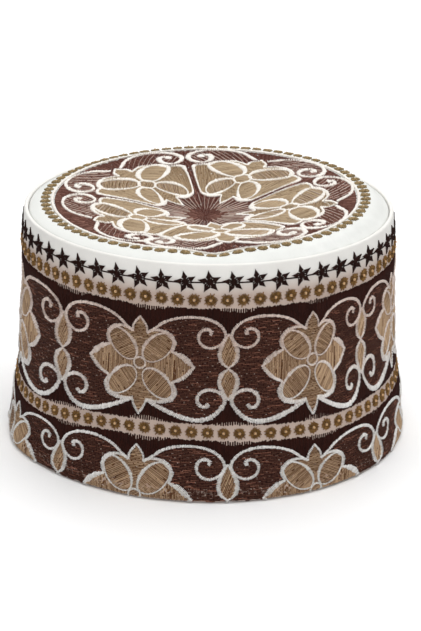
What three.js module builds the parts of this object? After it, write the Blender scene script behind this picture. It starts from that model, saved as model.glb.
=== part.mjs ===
// An embroidered prayer cap: a stiff round side band with a turned-up hem, and a flat
// crown panel sewn inside the band's upper edge. Millimetres, +Z up. The origin is the
// middle of the hem, on the surface that the cap stands on. The front of the cap faces -Y.
import * as THREE from "three";

// Cloth
const WALL = 2.0; // cotton, stiffening and stitching together
const HEM_TURN = 1.6; // the layer that is folded up inside the hem
const HEM_DEPTH = 18.0;
const HEM_ROUND = 1.0; // the soft edge of the fold
const SEAM_GAP = 0.3; // between the crown's edge and the band

// Overall sizes
const RIM_HEIGHT = 111.0; // top of the band's rolled edge
const RIM_RADIUS = 87.4; // outside of the band at its rolled edge
const SEAM_ALLOWANCE = 5.0; // how far the crown's edge turns down inside the band
const SEAM_SINK = 0.9; // the crown's edge lies this far under the top of the rim

const AROUND = 72; // sides of each turned form
const ROUND_STEPS = 3; // faces on each soft edge

// Outside of the band, from the hem to the rim: it flares at the hem, where the cloth is
// folded, and narrows above.
const BAND_ROWS = [
  { height: HEM_ROUND, radius: 95.6 },
  { height: 4, radius: 95.8 },
  { height: 11, radius: 94.3 },
  { height: 22, radius: 93.3 },
  { height: 32, radius: 92.0 },
  { height: 44, radius: 90.4 },
  { height: 60, radius: 89.6 },
  { height: 76, radius: 88.9 },
  { height: 92, radius: 88.5 },
  { height: 104, radius: 87.9 },
  { height: RIM_HEIGHT - WALL / 2, radius: RIM_RADIUS },
];

// Top of the crown, from the middle to the edge: rise above the crown's edge. It is
// dished inside a low ridge, and a plain border slopes from the ridge to the rim.
const CROWN_EDGE = RIM_RADIUS - WALL - SEAM_GAP;
const CROWN_ROWS = [
  { radius: 0, rise: -3.4 },
  { radius: 20, rise: -1.8 },
  { radius: 39, rise: 0.6 },
  { radius: 55, rise: 2.3 },
  { radius: 66, rise: 3.4 },
  { radius: 72, rise: 4.0 },
  { radius: 76.5, rise: 4.1 },
  { radius: 79.5, rise: 3.2 },
  { radius: 82.5, rise: 1.5 },
  { radius: CROWN_EDGE, rise: 0 },
];

// The crown isn't level: it leans this much, in mm per mm, to the right and to the back.
const CROWN_LEAN = { right: 0.022, back: 0.022 };
const LEAN_FADE = { from: 75, to: 84 }; // radii between which the lean dies away

// Shallow dents, and swellings where the depth is negative. Turn is in degrees from the
// front, positive to the right.
const BAND_DENTS = [
  { turn: -66, height: 2, depth: -1.8, turn_spread: 13, height_spread: 9 },
  { turn: 90, height: 22, depth: -0.8, turn_spread: 22, height_spread: 8 },
  { turn: -92, height: 33, depth: 0.9, turn_spread: 24, height_spread: 9 },
  { turn: -92, height: 76, depth: 0.8, turn_spread: 24, height_spread: 10 },
  { turn: 52, height: 60, depth: 0.9, turn_spread: 9, height_spread: 22 },
  { turn: 165, height: 55, depth: 0.8, turn_spread: 20, height_spread: 20 },
];
const CROWN_DENTS = [
  { turn: 2, radius: 75, depth: 2.2, turn_spread: 7, radius_spread: 8 },
  { turn: -38, radius: 58, depth: 0.8, turn_spread: 18, radius_spread: 13 },
  { turn: 118, radius: 52, depth: -0.7, turn_spread: 24, radius_spread: 16 },
];

const COLOURS = { crown: 0xefeee9, side_band: 0x4a2a20 };

const smoothstep = (x, from, to) => THREE.MathUtils.smoothstep(x, from, to);
const bell = (distance, spread) => Math.exp(-((distance / spread) ** 2));

function turnBetween(a, b) {
  return THREE.MathUtils.euclideanModulo(a - b + 180, 360) - 180;
}

// Part of a circle, without its first point.
function arcPoints(x, y, radius, fromDegrees, toDegrees, steps) {
  const from = THREE.MathUtils.degToRad(fromDegrees);
  const to = THREE.MathUtils.degToRad(toDegrees);
  const curve = new THREE.EllipseCurve(x, y, radius, radius, from, to, to < from);
  return curve.getPoints(steps).slice(1);
}

// The band's section, as a closed loop of (radius, height) points: up the outside, over
// the rolled rim, down the inside, and round the turned-up hem.
function bandSection() {
  const outside = BAND_ROWS.map((row) => new THREE.Vector2(row.radius, row.height));
  const top = outside[outside.length - 1];
  const rim = arcPoints(top.x - WALL / 2, top.y, WALL / 2, 0, 180, 2 * ROUND_STEPS);

  const inside = outside
    .filter((point) => point.y > HEM_DEPTH + HEM_TURN && point.y < top.y)
    .map((point) => new THREE.Vector2(point.x - WALL, point.y))
    .reverse();

  const hemRadius = BAND_ROWS[0].radius;
  const hemInside = hemRadius - WALL - HEM_TURN;
  const foldTop = inside[inside.length - 1].x;
  const hem = [
    new THREE.Vector2(foldTop, HEM_DEPTH + HEM_TURN),
    new THREE.Vector2(foldTop - HEM_TURN, HEM_DEPTH),
    new THREE.Vector2(hemInside, HEM_ROUND),
    ...arcPoints(hemInside + HEM_ROUND, HEM_ROUND, HEM_ROUND, 180, 270, ROUND_STEPS),
    new THREE.Vector2(hemRadius - HEM_ROUND, 0),
    ...arcPoints(hemRadius - HEM_ROUND, HEM_ROUND, HEM_ROUND, -90, 0, ROUND_STEPS),
  ];
  return [...outside, ...rim, ...inside, ...hem];
}

// The crown's section, from the axis round its edge and back to the axis: along the
// underside, down and up the turned seam allowance, and over the top.
function crownSection() {
  const edgeHeight = RIM_HEIGHT - SEAM_SINK;
  const top = CROWN_ROWS.map((row) => new THREE.Vector2(row.radius, edgeHeight + row.rise));
  const turnInside = CROWN_EDGE - WALL;
  const under = top
    .filter((point) => point.x < turnInside - WALL)
    .map((point) => new THREE.Vector2(point.x, point.y - WALL));
  const edge = [
    new THREE.Vector2(turnInside, edgeHeight - WALL),
    new THREE.Vector2(turnInside, edgeHeight - SEAM_ALLOWANCE),
    new THREE.Vector2(CROWN_EDGE, edgeHeight - SEAM_ALLOWANCE),
  ];
  return [...under, ...edge, ...top.reverse()];
}

function bandDent(turn, height) {
  return BAND_DENTS.reduce((sum, dent) => {
    const across = bell(turnBetween(turn, dent.turn), dent.turn_spread);
    return sum - dent.depth * across * bell(height - dent.height, dent.height_spread);
  }, 0);
}

function crownDent(turn, radius, x, z) {
  const held = 1 - smoothstep(radius, LEAN_FADE.from, LEAN_FADE.to);
  const lean = held * (CROWN_LEAN.right * x - CROWN_LEAN.back * z);
  return CROWN_DENTS.reduce((sum, dent) => {
    const across = bell(turnBetween(turn, dent.turn), dent.turn_spread);
    return sum - held * dent.depth * across * bell(radius - dent.radius, dent.radius_spread);
  }, lean);
}

// Turns a section round the axis and moves each point by what shift gives for it, then
// stands the form up on +Z with the start of the turn at the front. Here, before it
// stands, y is the height, x points right and z to the front.
function turnedForm(section, shift) {
  const form = new THREE.LatheGeometry(section, AROUND);
  const position = form.getAttribute("position");
  const point = new THREE.Vector3();
  for (let i = 0; i < position.count; i++) {
    point.fromBufferAttribute(position, i);
    const turn = THREE.MathUtils.radToDeg(Math.atan2(point.x, point.z));
    shift(point, turn, Math.hypot(point.x, point.z));
    position.setXYZ(i, point.x, point.y, point.z);
  }
  return form.rotateX(Math.PI / 2);
}

function sideBand() {
  return turnedForm(bandSection(), (point, turn, radius) => {
    const scale = (radius + bandDent(turn, point.y)) / radius;
    point.x *= scale;
    point.z *= scale;
  });
}

function crown() {
  return turnedForm(crownSection(), (point, turn, radius) => {
    point.y += crownDent(turn, radius, point.x, point.z);
  });
}

function pieceOf(name, geometry) {
  const cloth = { color: COLOURS[name], roughness: 0.9, metalness: 0 };
  const mesh = new THREE.Mesh(geometry, new THREE.MeshStandardMaterial(cloth));
  mesh.name = name;
  return mesh;
}

const cap = new THREE.Group();
cap.add(pieceOf("side_band", sideBand()));
cap.add(pieceOf("crown", crown()));

export default cap;
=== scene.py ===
import math

import bpy
import numpy as np
from mathutils import Matrix, Vector


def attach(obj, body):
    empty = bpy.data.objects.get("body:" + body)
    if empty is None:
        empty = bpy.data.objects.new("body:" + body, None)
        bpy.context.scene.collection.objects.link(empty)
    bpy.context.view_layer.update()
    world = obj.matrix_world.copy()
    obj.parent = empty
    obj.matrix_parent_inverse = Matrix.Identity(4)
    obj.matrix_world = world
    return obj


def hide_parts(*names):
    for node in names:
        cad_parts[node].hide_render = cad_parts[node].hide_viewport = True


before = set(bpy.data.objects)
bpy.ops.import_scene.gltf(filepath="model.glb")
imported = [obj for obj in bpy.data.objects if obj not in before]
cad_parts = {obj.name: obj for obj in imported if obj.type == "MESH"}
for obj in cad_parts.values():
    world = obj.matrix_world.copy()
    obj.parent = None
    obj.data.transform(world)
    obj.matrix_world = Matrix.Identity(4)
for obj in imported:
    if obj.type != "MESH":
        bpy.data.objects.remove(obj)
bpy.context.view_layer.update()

# An embroidered prayer cap. The two cloth pieces repeat the solids' shapes with more
# faces. On them lie the stitches, each a small closed body of thread. Shapes and patterns
# are worked out in millimetres. Turn is in degrees from the front, positive to the right.
MM = 0.001
rng = np.random.default_rng(7)

# Cloth
WALL = 2.0
HEM_TURN = 1.6
HEM_DEPTH = 18.0
HEM_ROUND = 1.0
SEAM_GAP = 0.3
SEAM_ALLOWANCE = 5.0
SEAM_SINK = 0.9
RIM_HEIGHT = 111.0
RIM_RADIUS = 87.4
CROWN_EDGE = RIM_RADIUS - WALL - SEAM_GAP
EDGE_HEIGHT = RIM_HEIGHT - SEAM_SINK

# Outside of the band: height and radius
BAND_ROWS = [
    (HEM_ROUND, 95.6), (4, 95.8), (11, 94.3), (22, 93.3), (32, 92.0), (44, 90.4), (60, 89.6),
    (76, 88.9), (92, 88.5), (104, 87.9), (RIM_HEIGHT - WALL / 2, RIM_RADIUS),
]
# Top of the crown: radius, and rise above its edge
CROWN_ROWS = [
    (0, -6.0), (20, -3.6), (39, 0.3), (55, 2.3), (66, 3.4), (72, 4.0), (76.5, 4.1),
    (79.5, 3.2), (82.5, 1.5), (CROWN_EDGE, 0),
]
CROWN_LEAN = {"right": 0.022, "back": 0.022}
LEAN_FADE = {"from": 75, "to": 84}
# Dents, and swellings where the depth is negative, spread in degrees of turn and in mm
BAND_DENTS = [
    {"turn": -66, "height": 2, "depth": -1.8, "spread": (13, 9)},
    {"turn": 90, "height": 22, "depth": -0.8, "spread": (22, 8)},
    {"turn": -92, "height": 33, "depth": 0.9, "spread": (24, 9)},
    {"turn": -92, "height": 76, "depth": 0.8, "spread": (24, 10)},
    {"turn": 52, "height": 60, "depth": 0.9, "spread": (9, 22)},
    {"turn": 165, "height": 55, "depth": 0.8, "spread": (20, 20)},
]
CROWN_DENTS = [
    {"turn": 2, "radius": 75, "depth": 2.2, "spread": (7, 8)},
    {"turn": -38, "radius": 58, "depth": 0.8, "spread": (18, 13)},
    {"turn": 118, "radius": 52, "depth": -0.7, "spread": (24, 16)},
]
RIPPLE = {"size": 0.16, "around": 9, "slant": 11, "tall": 17, "low": (2, 12), "high": (96, 108)}
PUCKERS = {"size": 0.6, "count": 52, "turn": 46, "radius": 81, "spread": (20, 3.4)}

# Layout of the band: heights of the rows, and the repeats round the cap
ARC = math.radians(1) * 88.0  # flat millimetres of pattern for each degree of turn
REPEATS = 7
CELL = 360.0 / REPEATS * ARC
FLOWER_TURN = -19.7
STAR_ROW = {"height": 102.9, "count": 52, "start": 0.3, "sizes": (4.9, 5.2), "waist": 0.53, "tilt": 102}
BEAD_ROWS = [
    {"height": 94.7, "count": 76, "start": 0.7, "size": 3.35},
    {"height": 31.4, "count": 80, "start": 0.3, "size": 3.1},
]
# A dot: its stitches, the length of every other one, its hollow middle and its knot, as shares
DOT = {"spokes": 24, "short": 0.86, "hollow": 0.2, "knot": 0.27}
UPPER = {"flower": 63.0, "dark_top": 90.6, "dark_low": 35.4}
LOWER = {"flower": 1.2, "dark_top": 27.6, "hem": 0.3}
# The lower rows aren't level: a wave runs round the band
WAVE = {"size": 1.7, "count": 3, "turn": -14, "height": 30, "spread": 26}
# Where the pattern is pulled up the band, or down it where the rise is negative
PULLS = [
    {"turn": -62, "height": 48, "rise": -3.4, "spread": (22, 30)},
    {"turn": 68, "height": 60, "rise": 3.2, "spread": (20, 22)},
]
# The upper flowers aren't evenly spaced: turns, and how far they drift to the right there
DRIFT = [(-84, -9.5), (-71, -8.5), (-55, -4.4), (-45, -1.5), (-33, 0), (33, 0), (49, -3.8), (84, -9.5)]

# Layout of the crown
CROWN_FLOWERS = {"count": 5, "radius": 39.6, "start": 64.0}
# How far each flower sits off its place
FLOWER_SHIFTS = [(0.6, 0), (0, 0), (3.5, -0.5), (0, 0), (0.5, -0.5)]
CROWN_SHIFT = (-1.7, 0.0)  # the crown's pattern isn't quite in its middle
CROWN_BEADS = {"radius": 75.7, "count": 82, "size": 2.6}
CROWN_RING = 72.5
CROWN_FILL = 71.6

# Half of the flower, right of its axis, from its middle. Corners part the lines.
FLOWER_LINES = {
    "sepal_top": [(0, 22.2), (2.9, 18.2), (3.4, 15.0)],
    "lobe_top": [(3.4, 15.0), (8.0, 16.6), (13.0, 15.2), (15.8, 11.2), (14.7, 6.9)],
    "petal_top": [(14.7, 6.9), (19.6, 4.6), (24.3, 0)],
    "petal_low": [(24.3, 0), (20.0, -5.2), (14.9, -8.2)],
    "lobe_low": [(14.9, -8.2), (16.4, -12.6), (14.3, -16.6), (9.0, -18.4), (3.4, -17.8)],
    "sepal_low": [(3.4, -17.8), (2.2, -21.4), (0, -25.2)],
}
# The crown's flowers are wedges that lie side by side.
CROWN_FLOWER_LINES = {
    "sepal_top": [(0, 22.4), (2.8, 18.8), (3.2, 15.4)],
    "lobe_top": [(3.2, 15.4), (8.2, 18.2), (14.0, 17.2), (16.6, 13.4)],
    "side_top": [(16.6, 13.4), (20.2, 14.0), (22.9, 12.6), (23.4, 8.0)],
    "side_low": [(23.4, 8.0), (23.5, -2.0), (23.0, -11.0)],
    "lobe_low": [(23.0, -11.0), (21.4, -15.4), (14.0, -17.8), (5.4, -16.6)],
    "sepal_low": [(5.4, -16.6), (3.8, -20.6), (0, -25.0)],
}
PETALS = [
    {"x": 8.2, "y": 8.2, "long": 8.5, "short": 5.2, "tilt": 47},
    {"x": 8.2, "y": -9.4, "long": 8.5, "short": 5.3, "tilt": -49},
]
CROWN_PETALS = [
    {"x": 9.4, "y": 9.2, "long": 9.8, "short": 5.8, "tilt": 46},
    {"x": 10.2, "y": -9.0, "long": 9.8, "short": 5.8, "tilt": -41},
]
CENTRE = 2.7
CROWN_CENTRE = 4.3
# Widths of the satin lines, spread evenly along each: some swell and some taper away
OUTLINE_WIDTHS = {
    "sepal_top": (1.0, 1.2, 1.0),
    "lobe_top": (0.9, 1.3, 2.4, 2.2, 1.2),
    "petal_top": (1.4, 2.6, 3.0, 1.4),
    "petal_low": (1.6, 2.2, 2.0, 1.4),
    "lobe_low": (1.2, 2.2, 2.8, 2.2, 1.2),
    "sepal_low": (1.2, 1.5, 1.1),
    "side_top": (1.4, 2.0, 1.4),
    "side_low": (1.2, 1.0, 1.2),
}
PETAL_WIDTHS = (0.3, 0.8, 1.6, 2.1, 1.4, 0.5, 0.2, 0.4, 0.8, 0.6, 0.3)
CROWN_PETAL_WIDTHS = (0.8, 1.3, 2.4, 2.9, 1.8, 0.8, 0.8, 1.7, 2.7, 1.7, 0.8)
LEAF_WIDTHS = (0.9, 2.1, 2.4, 2.1, 0.9)
CENTRE_WIDTH = 0.9
RING_WIDTH = 1.4
# The scrolls, right of the flower: from its sepal to the node, and on into the curl
SCROLL_TOP = [
    (3.6, 15.0), (6.8, 17.3), (11.0, 20.6), (16.5, 22.8), (22.6, 23.7), (28.8, 23.3),
    (33.8, 21.4), (37.0, 18.4), (38.2, 15.2), (37.0, 12.0), (34.0, 9.8), (30.8, 9.3),
    (27.6, 10.8), (26.2, 13.8), (27.2, 17.0), (29.8, 18.2), (31.8, 17.2), (31.4, 15.6),
]
SCROLL_LOW = [
    (3.6, -18.2), (8.2, -20.6), (14.6, -23.4), (21.0, -25.4), (27.0, -25.9), (32.0, -24.2),
    (35.6, -20.8), (37.8, -17.2), (37.6, -14.0), (34.8, -11.6), (31.0, -10.8), (27.6, -12.2),
    (26.0, -15.2), (26.8, -18.4), (29.4, -19.4), (30.8, -18.0),
]
SCROLL_WIDTHS = {"top": (1.5, 1.5, 1.7, 1.5, 2.0), "low": (2.2, 2.6, 2.4, 1.8, 2.1)}
# The two leaves between the flowers, right of their axis, from the flowers' middle height
LEAVES = {
    "upper": [(0, 15.8), (2.2, 12.2), (3.9, 7.2), (3.1, 2.8), (0, -0.2)],
    "lower": [(0, -0.6), (3.0, -3.4), (4.0, -7.4), (2.3, -12.0), (0, -15.6)],
}
# Where the filled ground ends above and below, by distance from the flower's axis
GROUND_TOP = [(0, 22.0), (3.4, 15.0), *SCROLL_TOP[1:8], (39.6, 14.6)]
GROUND_LOW = [(0, -25.0), (3.4, -18.2), *SCROLL_LOW[1:8], (39.6, -14.6)]
CROWN_SCROLL = {"grow": 1.05, "out": 6.6}

# Threads: width and rise of a stitch above the cloth, and the step from one to the next
THREADS = {
    "white": {"width": 0.68, "rise": 0.9, "step": 0.55},
    "tan": {"width": 0.56, "rise": 0.55, "step": 0.66},
    "brown": {"width": 0.56, "rise": 0.4, "step": 0.68, "contrast": 6.0},
    "hatch": {"width": 0.34, "rise": 0.55, "step": 1.6},
    "dark": {"width": 0.72, "rise": 0.42, "step": 0.52},
    "star": {"width": 0.72, "rise": 0.6, "step": 0.46},
    "bead": {"width": 0.52, "rise": 0.7, "step": 0.5},
    "knot": {"width": 0.7, "rise": 1.0, "step": 0.5},
    "tan_shade_under": {"width": 1.7, "rise": 0.2, "step": 1.1},
    "brown_under": {"width": 1.7, "rise": 0.18, "step": 1.1},
}

# A stitch's pointed ends: at most this share and length of it, and how far they sink in
TIP = {"share": 0.22, "length": 0.45, "sunk": 0.12}
RISES = (0.85, 1.15)  # least and most of a stitch's rise, as shares
COPY_SPREAD = 0.05  # how far the ends of stitches differ between copies of a motif
# Rows of stitches, set like bricks: shares of a stitch's length, and of the step for the sway
BRICKS = {"offset": 0.382, "uneven": 0.08, "overlap": 1.04, "sway": 0.1}
SATIN = {"slant": 0.25, "widths": (0.84, 1.1), "ends": (-0.1, 0.5)}
# Fills: thread, angle of the rows, length of a stitch, and samples for cutting it to shape
FILLS = {
    "flower_under": ("tan_shade_under", 40, 7.0, 30),
    "flower": ("tan", 2, 4.6, 20),
    "flower_side": ("tan", 88, 14, 48),
    "leaf": ("tan", 68, 7.5, 24),
    "leaf_under": ("tan_shade_under", 20, 7.0, 24),
    "brown": ("brown", 0, 4.3, 22),
    "brown_under": ("brown_under", 90, 5.0, 24),
    "crown_under": ("brown_under", 30, 6.0, 20),
    "scroll_hatch": ("hatch", 62, 8.0, 30),
}
CENTRE_ANGLE = 35
PETAL_LEAN = 12
PETAL_FILL = (22, 90)  # length and samples
# Dark satin: the depth and waves of its combed edge, how far it runs under its neighbours,
# and the longest stitch that isn't split in two
COMB = {"deep": 1.8, "wave": 0.16, "uneven": 0.6, "ends": 0.4}
DARK = {"overlap": 0.4, "longest": 7.5, "split": (0.35, 0.65)}
# Rings of brown stitches on the crown, and the pale fan in its middle
CROWN_BROWN = {"first": 1.0, "length": 4.4, "pitch": 0.95, "reach": 1.05, "uneven": 0.4, "shortest": 0.8}
FAN = {"radius": 13.0, "start": (7.0, 11.0), "length": 15.0}
SHEEN_HATCHED = 0.75  # painted sheen: pale lines on petals lying at least this much across the view

# Thread colours as seen on a screen, dark and light, then roughness and sheen. A crown_ row and
# the band's row of the same thread are mostly lit and shaded copies: painted light on the top,
# painted shade on the wall.
COLOURS = {
    "white": ((196, 174, 164), (242, 228, 219), 0.6, 0.05),
    "tan": ((124, 92, 66), (220, 190, 156), 0.55, 0.0),
    "brown": ((28, 8, 4), (166, 112, 92), 0.6, 0.0),
    "dark": ((32, 10, 5), (54, 22, 14), 0.6, 0.0),
    "star": ((28, 11, 7), (46, 21, 15), 0.6, 0.0),
    "bead": ((92, 64, 32), (152, 116, 70), 0.55, 0.0),
    "knot": ((196, 152, 104), (228, 192, 148), 0.55, 0.0),
    # Painted shade: the tan backing is darker than the tan thread, to darken the gaps between its
    # stitches
    "tan_shade_under": ((86, 56, 38), (106, 74, 50), 0.8, 0.0),
    "brown_under": ((38, 15, 11), (50, 22, 17), 0.8, 0.0),
    "crown_white": ((226, 219, 210), (247, 244, 239), 0.6, 0.05),
    "crown_tan": ((134, 113, 88), (190, 168, 138), 0.55, 0.0),
    "crown_brown": ((66, 31, 24), (160, 118, 104), 0.6, 0.0),
    "crown_hatch": ((146, 120, 108), (206, 190, 178), 0.6, 0.0),
    "crown_bead": ((100, 82, 52), (160, 138, 100), 0.55, 0.0),
    "crown_knot": ((150, 124, 88), (186, 160, 122), 0.55, 0.0),
    # Painted shade: darker than the crown's tan thread, for the gaps between its stitches
    "crown_tan_shade_under": ((112, 88, 64), (130, 106, 80), 0.8, 0.0),
    "crown_brown_under": ((66, 31, 24), (82, 42, 34), 0.8, 0.0),
}
# Painted shade: the white thread is greyer and pinker high on the band than low on it, and the
# cotton is darker and pinker down the band's wall than at the rim. The heights between which they
# change are in metres.
WHITER = {"white": ((212, 208, 204), (250, 249, 247)), "from": 0.074, "to": 0.036}
COTTON = {
    "band": ((170, 149, 137), (194, 176, 165)),
    "rim": ((220, 218, 213), (233, 231, 227)),
    "crown": ((209, 210, 206), (225, 226, 223)),
    "from": 0.0965,
    "to": 0.1055,
}

# Fine detail of the materials: scale and detail of the noise, and strength and depth of the bump
FIBRE = {"scale": 1500.0, "detail": 2.0, "share": 0.4, "strength": 0.25, "depth": 0.00008}
WEAVE = {"scale": 0.55, "distortion": 0.6, "strength": 0.35, "depth": 0.0001}
CLOUD = {"scale": 60.0, "detail": 3.0, "strength": 0.3, "depth": 0.0012}
COTTON_FINISH = {"roughness": 0.85, "sheen": 0.15}

# Camera, fitted to the photograph's rows, hem and outline
PHOTO = {"width": 421, "height": 631}
CAMERA = {"away": 1056.0, "up": 20.93, "roll": -0.83, "focal_px": 2184.0, "aim_x": 2.3, "aim_z": 53.8}
LAMPS = [
    {"name": "top_box", "place": (0.1, -0.05, 1.5), "aim": (0, 0, 0.06), "size": 1.5, "power": 22.5},
    {"name": "front_box", "place": (0.1, -1.4, 0.5), "aim": (0, 0, 0.06), "size": 0.9, "power": 4.5},
    {"name": "back_box", "place": (0.0, 1.6, 1.3), "aim": (0, 1.5, 0), "size": 1.4, "power": 14.0},
]
SKY = 0.34
FLOOR = {"size": 14.0, "height": -0.0004, "grey": 0.93}


# Curves and measures

ROUND = np.radians(np.arange(0, 361, 2))


def bell(distance, spread):
    return np.exp(-((distance / spread) ** 2))


def turn_between(a, b):
    return (a - b + 180.0) % 360.0 - 180.0


def smoothstep(x, low, high):
    t = np.clip((x - low) / (high - low), 0, 1)
    return t * t * (3 - 2 * t)


def rays(angle):
    """Points on the unit circle."""
    return np.stack([np.cos(angle), np.sin(angle)], axis=-1)


def smooth_line(x, xs, ys):
    """Heights at x of a smooth line through the points (xs, ys)."""
    slopes = np.gradient(ys, xs)
    i = np.clip(np.searchsorted(xs, x) - 1, 0, len(xs) - 2)
    step = xs[i + 1] - xs[i]
    t = np.clip((x - xs[i]) / step, 0, 1)
    from_a = (2 * t**3 - 3 * t**2 + 1) * ys[i] + (t**3 - 2 * t**2 + t) * step * slopes[i]
    from_b = (3 * t**2 - 2 * t**3) * ys[i + 1] + (t**3 - t**2) * step * slopes[i + 1]
    return from_a + from_b


def smooth_curve(points, steps=12):
    """Points of a smooth open curve through the given points."""
    p = np.array(points, float)
    p = np.vstack([2 * p[0] - p[1], p, 2 * p[-1] - p[-2]])
    t = np.linspace(0, 1, steps, endpoint=False)[:, None]
    runs = []
    for a, b, c, d in zip(p[:-3], p[1:-2], p[2:-1], p[3:]):
        runs.append(0.5 * (2 * b + (c - a) * t + (2 * a - 5 * b + 4 * c - d) * t**2
                           + (3 * b - a - 3 * c + d) * t**3))
    return np.vstack(runs + [p[-2:-1]])


# The cap's two surfaces

SLOPE_STEP = 0.5  # half the distance over which a slope is measured
BAND_HEIGHTS, BAND_RADII = np.array(BAND_ROWS, float).T
CROWN_RADII, CROWN_RISES = np.array(CROWN_ROWS, float).T


def around_axis(radius, turn, height):
    t = np.radians(turn)
    return np.stack([radius * np.sin(t), -radius * np.cos(t), height], axis=-1)


def spot(mark, along, turn, at):
    """1 in the middle of a dent or pull, less away from it. Along names its second place."""
    wide, tall = mark["spread"]
    return bell(turn_between(turn, mark["turn"]), wide) * bell(at - mark[along], tall)


def band_shift(turn, height):
    """How far dents and the slight unevenness of stitched cloth move the wall outwards."""
    shift = RIPPLE["size"] * np.sin(np.radians(turn) * RIPPLE["around"] + height / RIPPLE["slant"])
    shift = shift * np.sin(height / RIPPLE["tall"] + 1)
    shift = shift * smoothstep(height, *RIPPLE["low"]) * (1 - smoothstep(height, *RIPPLE["high"]))
    for dent in BAND_DENTS:
        shift = shift - dent["depth"] * spot(dent, "height", turn, height)
    return shift


def band_radius(turn, height):
    return smooth_line(height, BAND_HEIGHTS, BAND_RADII) + band_shift(turn, height)


def band_place(x, y, lift):
    """Places flat pattern points on the band: x along it, y up it, and round the hem's fold."""
    turn = x / ARC
    wave = WAVE["size"] * np.cos(np.radians(WAVE["count"] * (turn - WAVE["turn"])))
    moved_up = wave * bell(y - WAVE["height"], WAVE["spread"])
    for pull in PULLS:
        moved_up = moved_up + pull["rise"] * spot(pull, "height", turn, y)
    height = y + moved_up * smoothstep(y, 0, HEM_DEPTH)
    top = np.maximum(height, HEM_ROUND)
    radius = band_radius(turn, top)
    below = np.maximum(top - SLOPE_STEP, HEM_ROUND)
    slope = band_radius(turn, top + SLOPE_STEP) - band_radius(turn, below)
    fold = np.maximum(HEM_ROUND - height, 0) / HEM_ROUND
    lean = np.where(fold > 0, fold, np.arctan(slope))
    radius = radius - HEM_ROUND * (1 - np.cos(fold)) + lift * np.cos(lean)
    z = top - HEM_ROUND * np.sin(fold) - lift * np.sin(lean)
    return around_axis(radius, turn, z) * MM


def crown_height(x, y):
    radius = np.hypot(x, y)
    turn = np.degrees(np.arctan2(x, -y))
    held = 1 - smoothstep(radius, LEAN_FADE["from"], LEAN_FADE["to"])
    rise = smooth_line(radius, CROWN_RADII, CROWN_RISES)
    rise = rise + held * (CROWN_LEAN["right"] * x + CROWN_LEAN["back"] * y)
    for dent in CROWN_DENTS:
        rise = rise - held * dent["depth"] * spot(dent, "radius", turn, radius)
    puckers = np.cos(np.radians(turn) * PUCKERS["count"]) * spot(PUCKERS, "radius", turn, radius)
    return EDGE_HEIGHT + rise + PUCKERS["size"] * puckers


def crown_place(x, y, lift):
    """Places flat pattern points on the crown, as seen from above."""
    step = SLOPE_STEP
    east = (crown_height(x + step, y) - crown_height(x - step, y)) / (2 * step)
    north = (crown_height(x, y + step) - crown_height(x, y - step)) / (2 * step)
    size = np.sqrt(1 + east**2 + north**2)
    z = crown_height(x, y) + lift / size
    return np.stack([x - lift * east / size, y - lift * north / size, z], axis=-1) * MM


# Meshes

def new_object(name, points, faces, material):
    """A mesh object of points (n, 3) in metres and faces (m, 3 or 4), on the cap's body."""
    mesh = bpy.data.meshes.new(name)
    corners = faces.shape[1]
    mesh.vertices.add(len(points))
    mesh.vertices.foreach_set("co", np.ascontiguousarray(points, np.float32).ravel())
    mesh.loops.add(faces.size)
    mesh.loops.foreach_set("vertex_index", np.ascontiguousarray(faces, np.int32).ravel())
    mesh.polygons.add(len(faces))
    mesh.polygons.foreach_set("loop_start", np.arange(0, faces.size, corners, dtype=np.int32))
    mesh.polygons.foreach_set("use_smooth", np.full(len(faces), True))
    mesh.update(calc_edges=True)
    mesh.validate()
    mesh.materials.append(material)
    obj = bpy.data.objects.new(name, mesh)
    bpy.context.scene.collection.objects.link(obj)
    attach(obj, "root")
    return obj


def add_map(obj, name, coordinates):
    """A UV map from one pair for each corner of each face."""
    layer = obj.data.uv_layers.new(name=name)
    layer.data.foreach_set("uv", np.ascontiguousarray(coordinates, np.float32).ravel())


def turned_grid(rings, around):
    """Faces of a closed tube of rings, where the last ring joins the first."""
    a = np.arange(rings)[:, None] * around + np.arange(around)[None]
    right = np.roll(a, -1, axis=1)
    above = np.roll(a, -1, axis=0)
    return np.stack([a, right, np.roll(above, -1, axis=1), above], axis=-1).reshape(-1, 4)


def arc(x, y, radius, start, end, steps):
    a = np.radians(np.linspace(start, end, steps + 1)[1:])
    return rays(a) * radius + (x, y)


# Stitches: each is a closed body with pointed ends, a left, a top and a right line

STITCH_FACES = np.array([
    (0, 2, 1), (0, 3, 2), (0, 1, 3),
    (1, 2, 5), (1, 5, 4), (2, 3, 6), (2, 6, 5), (3, 1, 4), (3, 4, 6),
    (7, 4, 5), (7, 5, 6), (7, 6, 4),
])
# Each stitch's own strip of the bake map: along it, and across by the side that a face is on
STITCH_ALONG = np.array([0.04, 0.2, 0.2, 0.2, 0.8, 0.8, 0.8, 0.96])
FACE_SIDE = np.array([0, 1, 2, 0, 0, 1, 1, 2, 2, 0, 1, 2])


def stitch_body(stitches, place, width, rise):
    """Points and faces of stitches given as rows of flat end points (ax, ay, bx, by)."""
    a, b = stitches[:, :2], stitches[:, 2:]
    along = b - a
    length = np.maximum(np.hypot(along[:, 0], along[:, 1]), 1e-6)[:, None]
    side = np.stack([-along[:, 1], along[:, 0]], axis=1) / length * width / 2
    tip = along * np.minimum(TIP["share"], TIP["length"] / length)
    near = a + tip
    far = b - tip
    flat = np.stack([a, near + side, near, near - side, far + side, far, far - side, b], axis=1)
    lift = np.zeros(flat.shape[:2])
    height = rise * rng.uniform(*RISES, len(stitches))
    lift[:, [0, 7]] = -TIP["sunk"]
    lift[:, [2, 5]] = height[:, None]
    points = place(flat[..., 0].ravel(), flat[..., 1].ravel(), lift.ravel())
    faces = (np.arange(len(stitches))[:, None, None] * 8 + STITCH_FACES[None]).reshape(-1, 3)
    return points, faces


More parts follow.
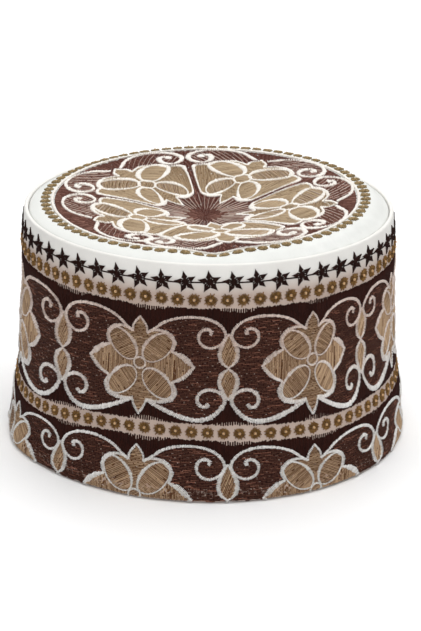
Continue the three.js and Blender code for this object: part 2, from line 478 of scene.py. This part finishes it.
def stitch_map(count):
    """A strip of the unit square for each stitch, with a lane for each of its three sides."""
    lanes = np.zeros((len(STITCH_FACES), 3, 2))
    for face, corners in enumerate(STITCH_FACES):
        side = FACE_SIDE[face]
        for corner, point in enumerate(corners):
            middle = 0.5 if point in (0, 7) else (0.15 if (point - 1) % 3 == side else 0.85)
            lanes[face, corner] = STITCH_ALONG[point], (side + middle) / 3
    across = max(1, round(math.sqrt(count / 4)))
    down = math.ceil(count / across)
    index = np.arange(count)
    corner = np.stack([index % across, index // across], axis=1)[:, None, None]
    return (corner + lanes[None]) / (across, down)


def stitch_object(name, stitches, place, thread, material):
    """One piece of all the stitches of a kind, with a shade of its own for each stitch."""
    size = THREADS[thread]
    points, faces = stitch_body(stitches, place, size["width"], size["rise"])
    obj = new_object(name, points, faces, material)
    shade = obj.data.attributes.new("shade", "FLOAT", "POINT")
    value = rng.random(len(stitches)) ** size.get("contrast", 1.0)
    shade.data.foreach_set("value", np.repeat(value, 8).astype(np.float32))
    add_map(obj, "OFBake", stitch_map(len(stitches)))
    return obj


# Laying stitches in the flat

def clipped(stitches, inside, samples=24):
    """Each stitch cut back to its first stretch where inside(x, y) holds."""
    t = np.linspace(0, 1, samples)
    x = stitches[:, 0:1] + (stitches[:, 2:3] - stitches[:, 0:1]) * t
    y = stitches[:, 1:2] + (stitches[:, 3:4] - stitches[:, 1:2]) * t
    held = inside(x, y)
    first = held.argmax(axis=1)
    after = ~held & (np.arange(samples) > first[:, None])
    last = np.where(after.any(axis=1), after.argmax(axis=1) - 1, samples - 1)
    rows = np.arange(len(stitches))
    kept = np.stack([x[rows, first], y[rows, first], x[rows, last], y[rows, last]], axis=1)
    return kept[held.any(axis=1) & (last > first)]


def filled(inside, box, thread, angle, length, samples):
    """Fills where inside(x, y) holds with rows at an angle, their stitches set like bricks."""
    step = THREADS[thread]["step"]
    (x0, y0), (x1, y1) = box
    middle = np.array([(x0 + x1) / 2, (y0 + y1) / 2])
    reach = math.hypot(x1 - x0, y1 - y0) / 2 + length
    rows = np.arange(-reach, reach, step)
    starts = np.arange(-reach, reach, length)
    row, start = np.meshgrid(rows, starts, indexing="ij")
    offset = np.arange(len(rows))[:, None] * BRICKS["offset"] % 1 * length
    uneven, sway = BRICKS["uneven"], BRICKS["sway"]
    start = start + offset + rng.uniform(-uneven, uneven, start.shape) * length
    row = row + rng.uniform(-sway, sway, row.shape) * step
    c, s = rays(math.radians(angle))
    a = np.stack([start * c - row * s, start * s + row * c], axis=-1).reshape(-1, 2) + middle
    stitches = np.hstack([a, a + np.array([c, s]) * length * BRICKS["overlap"]])
    return clipped(stitches, inside, samples)


def satin(path, widths):
    """Short white stitches across a path, with widths spread evenly along it."""
    path = np.asarray(path, float)
    pieces = np.hypot(*np.diff(path, axis=0).T)
    along = np.concatenate([[0], np.cumsum(pieces)])
    count = max(2, int(along[-1] / THREADS["white"]["step"]))
    at = np.linspace(0, along[-1], count)
    x = np.interp(at, along, path[:, 0])
    y = np.interp(at, along, path[:, 1])
    dx, dy = np.gradient(x), np.gradient(y)
    size = np.hypot(dx, dy)
    tangent = np.stack([dx, dy], axis=1) / size[:, None]
    normal = tangent[:, ::-1] * (-1, 1)
    widths = np.atleast_1d(widths)
    width = np.interp(at / along[-1], np.linspace(0, 1, len(widths)), widths)
    width = width * rng.uniform(*SATIN["widths"], count) + rng.uniform(*SATIN["ends"], count)
    middle = np.stack([x, y], axis=1)
    across = normal * width[:, None] / 2 + tangent * SATIN["slant"]
    return np.hstack([middle - across, middle + across])


def polygon_test(outline):
    """A test of whether points lie inside a closed outline."""
    a = np.asarray(outline, float)
    b = np.roll(a, -1, axis=0)

    def inside(x, y):
        x, y = np.asarray(x, float), np.asarray(y, float)
        odd = np.zeros(x.shape, bool)
        for (ax, ay), (bx, by) in zip(a, b):
            if ay == by:
                continue
            crosses = (ay > y) != (by > y)
            odd ^= crosses & (x < ax + (y - ay) * (bx - ax) / (by - ay))
        return odd
    return inside


def ellipse_test(petal, side, grow=0.0):
    tilt = math.radians(petal["tilt"])

    def inside(x, y):
        dx, dy = x * side - petal["x"], y - petal["y"]
        u = dx * math.cos(tilt) + dy * math.sin(tilt)
        v = dy * math.cos(tilt) - dx * math.sin(tilt)
        return (u / (petal["long"] + grow)) ** 2 + (v / (petal["short"] + grow)) ** 2 < 1
    return inside


def ellipse_path(petal, side):
    tilt = math.radians(petal["tilt"])
    u, v = (rays(ROUND[::3]) * (petal["long"], petal["short"])).T
    x = petal["x"] + u * math.cos(tilt) - v * math.sin(tilt)
    y = petal["y"] + u * math.sin(tilt) + v * math.cos(tilt)
    return np.stack([x * side, y], axis=1)


def both_sides(points):
    """A smooth curve through the points of half a motif, and the same mirrored."""
    right = smooth_curve(points)
    return right, right * (-1, 1)


def closed_outline(lines):
    """One closed outline from a motif's right half, from its top to its bottom."""
    right = np.vstack([smooth_curve(points)[:-1] for points in lines])
    return np.vstack([right, right[::-1] * (-1, 1)])


# Motifs, each as flat stitches by thread

def petal_rows(petal, side, inside, thread):
    """Rows of stitches across a petal, a little aslant."""
    x, y, reach = petal["x"] * side, petal["y"], petal["long"]
    near = ((x - reach, y - reach), (x + reach, y + reach))
    angle = (petal["tilt"] + 90 + PETAL_LEAN) * side
    return filled(inside, near, thread, angle, *PETAL_FILL)


def flower(lines, kinds, middle, petal_widths):
    """A flower of four round petals and two side petals on a tan ground."""
    whole = polygon_test(closed_outline(lines.values()))
    petals = [(petal, side) for petal in kinds for side in (1, -1)]
    tests = [ellipse_test(petal, side) for petal, side in petals]

    def centre(x, y):
        return np.hypot(x, y) < middle

    def ground(x, y):
        taken = centre(x, y)
        for test in tests:
            taken = taken | test(x, y)
        return whole(x, y) & ~taken

    def beside(x, y):
        return np.abs(y) < 0.8 * np.abs(x)

    box = ((-26, -26), (26, 24))
    core = ((-middle, -middle), (middle, middle))
    under = filled(whole, box, *FILLS["flower_under"])
    tan = [
        filled(lambda x, y: ground(x, y) & ~beside(x, y), box, *FILLS["flower"]),
        filled(lambda x, y: ground(x, y) & beside(x, y), box, *FILLS["flower_side"]),
        filled(centre, core, "tan", CENTRE_ANGLE, 3 * middle, 24),
    ]
    for (petal, side), test in zip(petals, tests):
        tan.append(petal_rows(petal, side, lambda x, y: test(x, y) & ~centre(x, y), "tan"))

    white = [satin(path, OUTLINE_WIDTHS[name])
             for name, points in lines.items() for path in both_sides(points)]
    white += [satin(ellipse_path(petal, side), petal_widths) for petal, side in petals]
    white.append(satin(rays(ROUND[::6]) * middle, CENTRE_WIDTH))
    return {"tan": np.vstack(tan), "white": np.vstack(white), "under": under, "whole": whole}


def leaf(points):
    """A pointed leaf with a satin border."""
    right, left = both_sides(points)
    whole = polygon_test(np.vstack([right, left[::-1]]))
    ys = [y for _, y in points]
    box = ((-4.5, min(ys)), (4.5, max(ys)))
    tan = filled(whole, box, *FILLS["leaf"])
    under = filled(whole, box, *FILLS["leaf_under"])
    border = [satin(path, LEAF_WIDTHS) for path in (right, left)]
    return {"tan": tan, "white": np.vstack(border), "under": under, "whole": whole}


def scrolls():
    """The four scroll lines round a flower."""
    lines = ((SCROLL_TOP, SCROLL_WIDTHS["top"]), (SCROLL_LOW, SCROLL_WIDTHS["low"]))
    return np.vstack([satin(path, widths) for points, widths in lines for path in both_sides(points)])


def moved(stitches, x, y):
    return stitches + np.array([x, y, x, y])


def ground_edge(points):
    """Height of the filled ground's edge by distance from the flower's axis."""
    xs, ys = np.array(points, float).T
    return lambda x: np.interp(np.abs(x), xs, ys)


def dark_columns(low, high, comb_low=False):
    """Dense upright stitches over a cell from low(x) to high(x), with a comb of uneven ends."""
    x = np.arange(-CELL / 2, CELL / 2, THREADS["dark"]["step"])
    comb = np.sin(x * COMB["wave"] + 1) * 2 + rng.uniform(-COMB["uneven"], COMB["uneven"], len(x))
    comb = np.where(np.arange(len(x)) % 2, np.clip(comb, 0, COMB["deep"]), 0)
    comb = comb + rng.uniform(-COMB["ends"], COMB["ends"], len(x))
    over = DARK["overlap"]
    bottom = low(x) - over + (comb if comb_low else 0)
    top = high(x) + over - (0 if comb_low else comb)
    split = bottom + (top - bottom) * rng.uniform(*DARK["split"], len(x))
    long = top - bottom > DARK["longest"]
    whole = np.stack([x, bottom, x, top], axis=1)[~long]
    first = np.stack([x, bottom, x, split + over], axis=1)[long]
    second = np.stack([x, split - over, x, top], axis=1)[long]
    return np.vstack([whole, first, second])


def band_cell():
    """All stitches of one repeat of the upper pattern, from the flower's middle."""
    bloom = flower(FLOWER_LINES, PETALS, CENTRE, PETAL_WIDTHS)
    leaves = [leaf(points) for points in LEAVES.values()]
    half = CELL / 2
    edge_top, edge_low = ground_edge(GROUND_TOP), ground_edge(GROUND_LOW)

    def ground(x, y):
        free = (y < edge_top(x)) & (y > edge_low(x)) & ~bloom["whole"](x, y)
        for item in leaves:
            free &= ~item["whole"](np.abs(x) - half, y)
        return free & (np.abs(x) <= half)

    box = ((-half, -27), (half, 25))
    brown = filled(ground, box, *FILLS["brown"])
    under = filled(ground, box, *FILLS["brown_under"])
    tan = [bloom["tan"]] + [moved(item["tan"], half, 0) for item in leaves]
    tan_shade_under = [bloom["under"]] + [moved(item["under"], half, 0) for item in leaves]
    white = [bloom["white"], scrolls()] + [moved(item["white"], half, 0) for item in leaves]
    return {
        "brown": brown,
        "brown_under": under,
        "tan": np.vstack(tan),
        "tan_shade_under": np.vstack(tan_shade_under),
        "white": np.vstack(white),
        "top": edge_top,
        "low": edge_low,
    }


def drifted(stitches):
    """The stitches moved along the band by the drift at each end's place."""
    turns, shifts = np.array(DRIFT, float).T
    moved_on = stitches.copy()
    along = moved_on[:, [0, 2]]
    turn = turn_between(along / ARC, 0.0)
    moved_on[:, [0, 2]] = along + np.interp(turn, turns, shifts) * ARC
    return moved_on


def repeated(stitches, height):
    """A cell's stitches at each repeat round the band, each copy a little different."""
    copies = []
    for k in range(REPEATS):
        copy = moved(stitches, FLOWER_TURN * ARC + k * CELL, height)
        copies.append(copy + rng.normal(0, COPY_SPREAD, copy.shape))
    return np.vstack(copies)


def upper_row(stitches):
    return drifted(repeated(stitches, UPPER["flower"]))


def above_hem(stitches):
    return clipped(stitches, lambda x, y: y > LOWER["hem"])


def beads(place_bead, count, size):
    """Round dots: close radial stitches, every other one longer, about a paler knot."""
    spokes = DOT["spokes"]
    out = rays(np.arange(spokes) * 2 * math.pi / spokes)
    reach = np.where(np.arange(spokes) % 2, 1.0, DOT["short"])[:, None] * size
    knot = rays(np.radians([0, 45, 90, 135]))
    knot = np.hstack([-knot, knot]) * size * DOT["knot"]
    rings, knots = [], []
    for k in range(count):
        c, s = rays(rng.uniform(0, 0.4))
        spin = np.array([[c, -s], [s, c]])
        uneven = rng.normal(1, 0.06, (spokes, 1))
        ring = np.hstack([out * size * DOT["hollow"], out * reach * uneven])
        for source, target in ((ring, rings), (knot, knots)):
            target.append(place_bead(k, source.reshape(-1, 2) @ spin.T).reshape(-1, 4))
    return np.vstack(rings), np.vstack(knots)


def star(size, waist, tilt):
    """A five-pointed star: each point is filled with stitches across it, from tip to middle."""
    at = np.arange(0.02, 1.0, THREADS["star"]["step"] / size)[:, None]
    stitches = []
    for angle in np.radians(tilt + np.arange(5) * 72.0):
        tip = size * rays(angle)
        sides = [size * waist * rays(angle + turn) for turn in (math.pi / 5, -math.pi / 5)]
        stitches.append(np.hstack([tip + (side - tip) * at for side in sides]))
        stitches.append(np.array([[*tip * 0.95, *-tip * 0.1]]))
    spokes = rays(np.radians(np.arange(0, 180, 30))) * size * waist
    stitches.append(np.hstack([-spokes, spokes]))
    return np.vstack(stitches)


def star_row():
    """The row of stars and the loose thread that runs from one to the next."""
    stitches = []
    pitch = 360.0 / STAR_ROW["count"] * ARC
    for k in range(STAR_ROW["count"]):
        x = STAR_ROW["start"] * ARC + k * pitch
        size = rng.uniform(*STAR_ROW["sizes"])
        item = star(size, STAR_ROW["waist"], STAR_ROW["tilt"] + rng.normal(0, 2.5))
        stitches.append(moved(item, x, STAR_ROW["height"] + rng.normal(0, 0.2)))
        low = STAR_ROW["height"] - 0.2
        stitches.append(np.array([[x + 2.0, low, x + pitch - 2.0, low + rng.normal(0, 0.3)]]))
    return np.vstack(stitches)


# Crown pattern, laid flat as seen from above

def crown_azimuth(k):
    return math.radians(CROWN_FLOWERS["start"] + 360.0 / CROWN_FLOWERS["count"] * k)


def on_crown(points, k):
    """Points of a motif bent round the crown: x across the flower, y out from the middle."""
    radius = CROWN_FLOWERS["radius"] + points[:, 1]
    angle = crown_azimuth(k) - points[:, 0] / CROWN_FLOWERS["radius"]
    return rays(angle) * radius[:, None]


def crown_repeats(stitches):
    copies = []
    for k in range(CROWN_FLOWERS["count"]):
        copy = moved(on_crown(stitches.reshape(-1, 2), k).reshape(-1, 4), *FLOWER_SHIFTS[k])
        copies.append(copy + rng.normal(0, COPY_SPREAD, copy.shape))
    return np.vstack(copies)


def crown_scroll_points():
    half = math.pi / CROWN_FLOWERS["count"] * CROWN_FLOWERS["radius"]
    return np.array(SCROLL_TOP) * (half / (CELL / 2), CROWN_SCROLL["grow"]) + (0, CROWN_SCROLL["out"])


def crown_scroll():
    """The scroll lines between a crown flower and its neighbours, bent with the motif."""
    widths = np.array(SCROLL_WIDTHS["top"]) * CROWN_SCROLL["grow"]
    return np.vstack([satin(path, widths) for path in both_sides(crown_scroll_points())])


def crown_ground(inside_flower):
    """Brown radial stitches in rings round the flowers, their backing, and the pale fan."""
    stitches = []
    length, uneven = CROWN_BROWN["length"], CROWN_BROWN["uneven"]
    for inner in np.arange(CROWN_BROWN["first"], CROWN_FILL, length * CROWN_BROWN["pitch"]):
        middle = inner + length / 2
        count = int(2 * math.pi * middle / THREADS["brown"]["step"])
        index = np.arange(count)
        start = inner + (index % 3 - 1) * length / 3 + rng.uniform(-uneven, uneven, count)
        start = np.maximum(start, uneven)
        end = np.minimum(start + length * CROWN_BROWN["reach"], CROWN_FILL)
        out = rays(index * 2 * math.pi / count)
        long = end > start + CROWN_BROWN["shortest"]
        stitches.append(np.hstack([out * start[:, None], out * end[:, None]])[long])

    def free(x, y):
        taken = np.zeros(x.shape, bool)
        for k in range(CROWN_FLOWERS["count"]):
            px, py = x - FLOWER_SHIFTS[k][0], y - FLOWER_SHIFTS[k][1]
            turn = (crown_azimuth(k) - np.arctan2(py, px) + math.pi) % (2 * math.pi) - math.pi
            out = np.hypot(px, py) - CROWN_FLOWERS["radius"]
            taken |= inside_flower(turn * CROWN_FLOWERS["radius"], out)
        return ~taken

    out = rays(np.arange(0, 2 * math.pi, THREADS["hatch"]["step"] / FAN["radius"]))
    start = rng.uniform(*FAN["start"], (len(out), 1))
    hatch = clipped(np.hstack([out * start, out * (start + FAN["length"])]), free)
    whole = polygon_test(rays(ROUND) * CROWN_FILL)
    box = ((-CROWN_FILL, -CROWN_FILL), (CROWN_FILL, CROWN_FILL))
    under = filled(lambda x, y: whole(x, y) & free(x, y), box, *FILLS["crown_under"])
    return clipped(np.vstack(stitches), free, 12), under, hatch


def scroll_hatch(inside_flower):
    """Pale lines between a crown flower and its scrolls, right and left of its axis."""
    arch = crown_scroll_points()[:8]

    def right(x, y):
        return (x > 4) & (y > 10) & (y < np.interp(x, *arch.T, right=-99)) & ~inside_flower(x, y)

    lines = filled(right, ((3, 8), (26, 32)), *FILLS["scroll_hatch"])
    return np.vstack([lines, lines * (-1, 1, -1, 1)])


def petal_sheen_hatch():
    """Painted sheen: pale lines across those petals of the crown that lie across the camera's view."""
    stitches = []
    for k in range(CROWN_FLOWERS["count"]):
        for petal in CROWN_PETALS:
            for side in (1, -1):
                out = crown_azimuth(k) - math.atan2(petal["x"] * side, petal["y"])
                if abs(math.cos(out)) < SHEEN_HATCHED:
                    continue
                lines = petal_rows(petal, side, ellipse_test(petal, side, -0.8), "hatch")
                lines = on_crown(lines.reshape(-1, 2), k).reshape(-1, 4)
                stitches.append(moved(lines, *FLOWER_SHIFTS[k]))
    return np.vstack(stitches)


# Materials

def srgb(red, green, blue):
    """A colour given as it looks on a screen, 0 to 255, as linear light."""
    c = np.array([red, green, blue]) / 255.0
    linear = np.where(c <= 0.04045, c / 12.92, ((c + 0.055) / 1.055) ** 2.4)
    return (*linear.tolist(), 1.0)


def fill_in(tree, item, inputs):
    """Sets a node's inputs, each to a value or to the output of another node."""
    for name, value in inputs.items():
        if isinstance(value, bpy.types.NodeSocket):
            tree.links.new(value, item.inputs[name])
        else:
            item.inputs[name].default_value = value


def node(tree, kind, inputs=None, **settings):
    item = tree.nodes.new(kind)
    for name, value in settings.items():
        setattr(item, name, value)
    fill_in(tree, item, inputs or {})
    return item


def plain_material(name, roughness, sheen):
    material = bpy.data.materials.new(name)
    material.use_nodes = True
    tree = material.node_tree
    shader = tree.nodes["Principled BSDF"]
    finish = {"Roughness": roughness, "Sheen Weight": sheen}
    fill_in(tree, shader, {**finish, "Sheen Roughness": 0.4, "Specular IOR Level": 0.12})
    return material, tree, shader


def mixed_colour(tree, factor, dark, light):
    """A blend of two colours, each given as seen on a screen or as the output of a node."""
    dark, light = [srgb(*c) if isinstance(c, tuple) else c for c in (dark, light)]
    inputs = {"Factor": factor, "A": dark, "B": light}
    return node(tree, "ShaderNodeMix", inputs, data_type="RGBA").outputs["Result"]


def by_height(tree, where, span):
    """0 at the height that the span runs from and 1 at the height it runs to, in metres."""
    height = node(tree, "ShaderNodeSeparateXYZ", {"Vector": where}).outputs["Z"]
    inputs = {"Value": height, "From Min": span["from"], "From Max": span["to"]}
    return node(tree, "ShaderNodeMapRange", inputs).outputs["Result"]


def noise(tree, where, detail):
    inputs = {"Vector": where, "Scale": detail["scale"], "Detail": detail["detail"]}
    return node(tree, "ShaderNodeTexNoise", inputs).outputs["Fac"]


def bump(tree, height, detail, **inputs):
    inputs.update({"Height": height, "Strength": detail["strength"], "Distance": detail["depth"]})
    return node(tree, "ShaderNodeBump", inputs).outputs["Normal"]


def thread_material(name, dark, light, roughness, sheen):
    """Embroidery thread: each stitch has a shade of its own, and fine flecks of fibre."""
    material, tree, shader = plain_material(name + "_thread", roughness, sheen)
    shade = node(tree, "ShaderNodeAttribute", attribute_name="shade").outputs["Fac"]
    where = node(tree, "ShaderNodeTexCoord").outputs["Object"]
    fleck = noise(tree, where, FIBRE)
    inputs = {"Factor": FIBRE["share"], "A": shade, "B": fleck}
    tone = node(tree, "ShaderNodeMix", inputs, data_type="FLOAT").outputs["Result"]
    colour = mixed_colour(tree, tone, dark, light)
    # Painted shade: the white thread is greyer and pinker high on the band than low on it
    if name in WHITER:
        white = mixed_colour(tree, tone, *WHITER[name])
        lower = by_height(tree, where, WHITER)
        colour = mixed_colour(tree, lower, colour, white)
    fill_in(tree, shader, {"Base Color": colour, "Normal": bump(tree, fleck, FIBRE)})
    return material


def cotton_material(name, low, high):
    """White cotton with a fine plain weave, slightly uneven in tone; whiter at the rim, painted shade
    below.
    """
    material, tree, shader = plain_material(name + "_cotton", **COTTON_FINISH)
    where = node(tree, "ShaderNodeTexCoord").outputs["Object"]
    weave = node(tree, "ShaderNodeUVMap", uv_map="Weave").outputs["UV"]
    inputs = {"Vector": weave, "Scale": WEAVE["scale"], "Distortion": WEAVE["distortion"]}
    waves = [node(tree, "ShaderNodeTexWave", inputs, wave_type="BANDS", bands_direction=direction)
             for direction in ("X", "Y")]
    heights = {i: wave.outputs["Fac"] for i, wave in enumerate(waves)}
    crossing = node(tree, "ShaderNodeMath", heights, operation="MULTIPLY").outputs["Value"]
    cloud = noise(tree, where, CLOUD)
    tones = [mixed_colour(tree, cloud, *COTTON[zone]) for zone in (low, high)]
    rise = by_height(tree, where, COTTON)
    normal = bump(tree, cloud, CLOUD, Normal=bump(tree, crossing, WEAVE))
    fill_in(tree, shader, {"Base Color": mixed_colour(tree, rise, *tones), "Normal": normal})
    return material


# Cloth pieces

AROUND = 360
TURNS = np.arange(AROUND) * 360.0 / AROUND


def side_cloth(material):
    """The band: up the outside, over the rolled rim, down the inside and round the hem."""
    heights = np.linspace(HEM_ROUND, RIM_HEIGHT - WALL / 2, 70)
    outside = np.stack([smooth_line(heights, BAND_HEIGHTS, BAND_RADII), heights], axis=1)
    top = outside[-1]
    rim = arc(top[0] - WALL / 2, top[1], WALL / 2, 0, 180, 8)
    down = np.linspace(RIM_HEIGHT - WALL, HEM_DEPTH + HEM_TURN, 30)
    inside = np.stack([smooth_line(down, BAND_HEIGHTS, BAND_RADII) - WALL, down], axis=1)
    hem_radius = BAND_RADII[0]
    hem_inside = hem_radius - WALL - HEM_TURN
    low = np.linspace(HEM_DEPTH, HEM_ROUND, 8)
    turned = np.interp(low, [HEM_ROUND, HEM_DEPTH], [hem_inside, inside[-1, 0] - HEM_TURN])
    fold = np.stack([turned, low], axis=1)
    inner_round = arc(hem_inside + HEM_ROUND, HEM_ROUND, HEM_ROUND, 180, 270, 4)
    outer_round = arc(hem_radius - HEM_ROUND, HEM_ROUND, HEM_ROUND, -90, 0, 4)[:-1]
    outer_start = np.array([[hem_radius - HEM_ROUND, 0]])
    section = np.vstack([outside, rim, inside, fold, inner_round, outer_start, outer_round])

    radius = section[:, :1] + band_shift(TURNS[None], section[:, 1:])
    height = np.repeat(section[:, 1:], AROUND, axis=1)
    points = around_axis(radius, TURNS, height).reshape(-1, 3) * MM
    faces = turned_grid(len(section), AROUND)
    obj = new_object("side_cloth", points, faces, material)
    run = np.concatenate([[0], np.cumsum(np.hypot(*np.diff(section, axis=0).T))])
    column = faces % AROUND
    column = np.where((column == 0) & (column.max(axis=1, keepdims=True) == AROUND - 1), AROUND, column)
    add_map(obj, "Weave", np.stack([column * 360.0 / AROUND * ARC, run[faces // AROUND]], axis=-1))
    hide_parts("side_band")
    return obj


def crown_cloth(material):
    """The crown panel: its top, its turned-down edge and its underside."""
    inner = 0.05
    out = np.concatenate([np.linspace(inner, 70, 36), np.linspace(71, CROWN_EDGE - 0.4, 22)])
    turn_in = CROWN_EDGE - WALL
    under = np.concatenate([np.linspace(turn_in - 0.6, 70, 8), np.linspace(66, inner, 20)])

    def ring(radius, drop=0.0, level=0.0):
        points = around_axis(radius, TURNS, np.full(AROUND, level))
        if not level:
            points[:, 2] = crown_height(*points[:, :2].T) - drop
        return points

    rings = [ring(r) for r in out]
    rings += [ring(CROWN_EDGE, level=EDGE_HEIGHT - 0.45)]
    low = EDGE_HEIGHT - SEAM_ALLOWANCE
    bevel = 0.4
    rings += [ring(CROWN_EDGE, level=z) for z in (EDGE_HEIGHT - SEAM_ALLOWANCE / 2, low + bevel)]
    rings += [ring(CROWN_EDGE - bevel, level=low), ring(turn_in + bevel, level=low)]
    rings += [ring(turn_in, level=z) for z in (low + bevel, EDGE_HEIGHT - WALL - 0.6)]
    rings += [ring(r, drop=WALL) for r in under]
    points = np.vstack(rings) * MM
    faces = turned_grid(len(rings), AROUND)[:, ::-1]
    obj = new_object("crown_cloth", points, faces, material)
    add_map(obj, "Weave", (points[:, :2] / MM)[faces])
    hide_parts("crown")
    return obj


# Scene

def floor_and_light():
    bpy.ops.mesh.primitive_plane_add(size=FLOOR["size"], location=(0, 0, FLOOR["height"]))
    floor = bpy.context.object
    floor.name = "floor"
    material, _, shader = plain_material("floor_paper", 0.9, 0.0)
    shader.inputs["Base Color"].default_value = (*[FLOOR["grey"]] * 3, 1)
    floor.data.materials.append(material)

    world = bpy.data.worlds.new("studio")
    world.use_nodes = True
    back = world.node_tree.nodes["Background"]
    back.inputs["Color"].default_value = (1, 1, 1, 1)
    back.inputs["Strength"].default_value = SKY
    bpy.context.scene.world = world
    bpy.context.scene.view_settings.view_transform = "Standard"

    for lamp in LAMPS:
        data = bpy.data.lights.new(lamp["name"], "AREA")
        data.size = lamp["size"]
        data.energy = lamp["power"]
        obj = bpy.data.objects.new(lamp["name"], data)
        obj.location = lamp["place"]
        aim = Vector(lamp["aim"]) - obj.location
        obj.rotation_euler = aim.to_track_quat("-Z", "Y").to_euler()
        bpy.context.scene.collection.objects.link(obj)


def photo_camera():
    """A camera at the photograph's distance, height and slight roll."""
    up, roll = math.radians(CAMERA["up"]), math.radians(CAMERA["roll"])
    level = Matrix.Rotation(roll, 3, "Y")
    right = level @ Vector((1, 0, 0))
    high = level @ Vector((0, math.sin(up), math.cos(up)))
    back = level @ Vector((0, -math.cos(up), math.sin(up)))
    place = level @ Vector((CAMERA["aim_x"], 0, CAMERA["aim_z"])) + back * CAMERA["away"]
    data = bpy.data.cameras.new("photo_camera")
    data.sensor_width = 36.0
    data.lens = CAMERA["focal_px"] / PHOTO["height"] * data.sensor_width
    data.clip_end = 50.0
    camera = bpy.data.objects.new("photo_camera", data)
    turned = Matrix((right, high, back)).transposed().to_4x4()
    camera.matrix_world = Matrix.Translation(place * MM) @ turned
    bpy.context.scene.collection.objects.link(camera)
    bpy.context.scene.camera = camera


def embroidered(zones, place, threads, prefix=""):
    """A piece of each zone's stitches, laid on the band or the crown by place."""
    return [stitch_object(name, stitches, place, thread, threads[prefix + thread])
            for name, (thread, stitches) in zones.items()]


def band_embroidery(threads):
    cell = band_cell()
    upper, lower = UPPER["flower"], LOWER["flower"]

    def both(stitches):
        return np.vstack([upper_row(stitches), above_hem(repeated(stitches, lower))])

    def level(height):
        return lambda x: np.full(len(x), height)

    dark = [
        upper_row(dark_columns(cell["top"], level(UPPER["dark_top"] - upper))),
        upper_row(dark_columns(level(UPPER["dark_low"] - upper), cell["low"], comb_low=True)),
        repeated(dark_columns(cell["top"], level(LOWER["dark_top"] - lower)), lower),
    ]
    zones = {
        "dark_satin": ("dark", np.vstack(dark)),
        "brown_ground": ("brown", both(cell["brown"])),
        "brown_backing": ("brown_under", both(cell["brown_under"])),
        # Painted shade: the dark tan backing shows between the tan stitches
        "tan_shade_backing": ("tan_shade_under", both(cell["tan_shade_under"])),
        "tan_motifs": ("tan", both(cell["tan"])),
        "white_lines": ("white", upper_row(cell["white"])),
        "white_lines_low": ("white", above_hem(repeated(cell["white"], lower))),
        "star_row": ("star", star_row()),
    }
    pieces = embroidered(zones, band_place, threads)
    dots = []
    for row in BEAD_ROWS:
        def place_bead(k, points):
            x = (row["start"] + 360.0 / row["count"] * k) * ARC
            return points + (x, row["height"])

        dots.append(beads(place_bead, row["count"], row["size"]))
    rings, knots = [np.vstack(kind) for kind in zip(*dots)]
    zones = {"dot_rings": ("bead", rings), "dot_knots": ("knot", knots)}
    return pieces + embroidered(zones, band_place, threads)


def crown_embroidery(threads):
    bloom = flower(CROWN_FLOWER_LINES, CROWN_PETALS, CROWN_CENTRE, CROWN_PETAL_WIDTHS)
    white = np.vstack([
        crown_repeats(np.vstack([bloom["white"], crown_scroll()])),
        satin(rays(ROUND) * CROWN_RING, RING_WIDTH),
    ])
    brown, under, hatch = crown_ground(bloom["whole"])
    # Pale lines: the fan and scroll hatches are pattern, the petal lines painted sheen
    hatch = np.vstack([hatch, crown_repeats(scroll_hatch(bloom["whole"])), petal_sheen_hatch()])

    def place_bead(k, points):
        c, s = rays(2 * math.pi / CROWN_BEADS["count"] * k)
        return points @ np.array([[c, s], [-s, c]]) + np.array([c, s]) * CROWN_BEADS["radius"]
    rings, knots = beads(place_bead, CROWN_BEADS["count"], CROWN_BEADS["size"])
    zones = {
        "crown_brown_under": ("brown_under", under),
        "crown_brown": ("brown", brown),
        "crown_tan_shade_under": ("tan_shade_under", crown_repeats(bloom["under"])),
        "crown_tan": ("tan", crown_repeats(bloom["tan"])),
        "crown_dots": ("bead", rings),
        "crown_knots": ("knot", knots),
        "crown_hatch": ("hatch", hatch),
        "crown_white": ("white", white),
    }

    def place(x, y, lift):
        return crown_place(x + CROWN_SHIFT[0], y + CROWN_SHIFT[1], lift)

    # The crown_ threads are mostly lighter copies of the band's, with painted light on the top
    return embroidered(zones, place, threads, "crown_")


def build():
    photo_camera()
    floor_and_light()
    # Painted shade: the band's cotton is darker and pinker down the wall than at the rim
    band = side_cloth(cotton_material("band", "band", "rim"))
    crown = crown_cloth(cotton_material("crown", "crown", "crown"))
    threads = {name: thread_material(name, *look) for name, look in COLOURS.items()}
    on_band = band_embroidery(threads)
    on_top = crown_embroidery(threads)


build()
